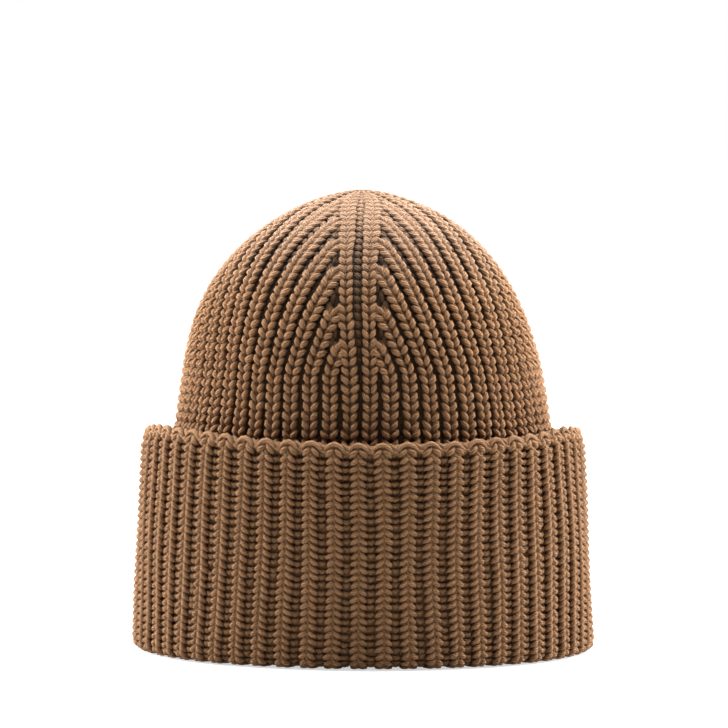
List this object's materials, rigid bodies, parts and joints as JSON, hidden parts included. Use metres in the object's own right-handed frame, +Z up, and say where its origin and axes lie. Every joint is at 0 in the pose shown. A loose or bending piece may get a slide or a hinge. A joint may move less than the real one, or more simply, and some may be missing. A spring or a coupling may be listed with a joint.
{
  "type": "ribbed knit beanie",
  "caption": "Close-fitting rib-knit wool beanie with a narrowed crown drawn together at the top and a deep turned-up cuff.",
  "frame": {"origin": "middle of the circle that the fold of the cuff rests on", "axes": "+Z up towards the top of the crown, -Y the front, +X to the right as seen from the front; left and right in names are as seen from the front"},
  "size_m": [0.1968, 0.1968, 0.1956],
  "materials": {
    "wool_rib": "soft matt wool yarn, half-cardigan rib",
    "wool_cuff": "soft matt wool yarn, half-cardigan rib",
    "linking_yarn": "matt wool yarn",
    "label_tape": "blank woven polyester tape",
    "sewing_thread": "spun polyester thread"
  },
  "bodies": {
    "hat": {"crown_front_left": "wool_rib", "crown_front_right": "wool_rib", "crown_back_left": "wool_rib", "crown_back_right": "wool_rib", "crown_seam": "linking_yarn", "crown_gather": "wool_rib", "closing_knot": "linking_yarn", "inner_band": "wool_rib", "band_seam": "linking_yarn", "label_stitching": "sewing_thread"},
    "cuff": {"fold_rim": "wool_cuff", "outer_cuff": "wool_cuff", "cuff_seam": "linking_yarn", "cast_on_edge": "wool_cuff"},
    "label": {"care_label": "label_tape"}
  },
  "joints": [
    {"name": "cuff_tug_down", "type": "slide", "parent": "hat", "child": "cuff", "axis": [0, 0, -1], "range_m": [0, 0.025]},
    {"name": "label_flap", "type": "hinge", "parent": "hat", "child": "label", "pos_m": [0, 0.07859, 0.062], "axis": [-1, 0, 0], "range_deg": [-5, 80]}
  ]
}
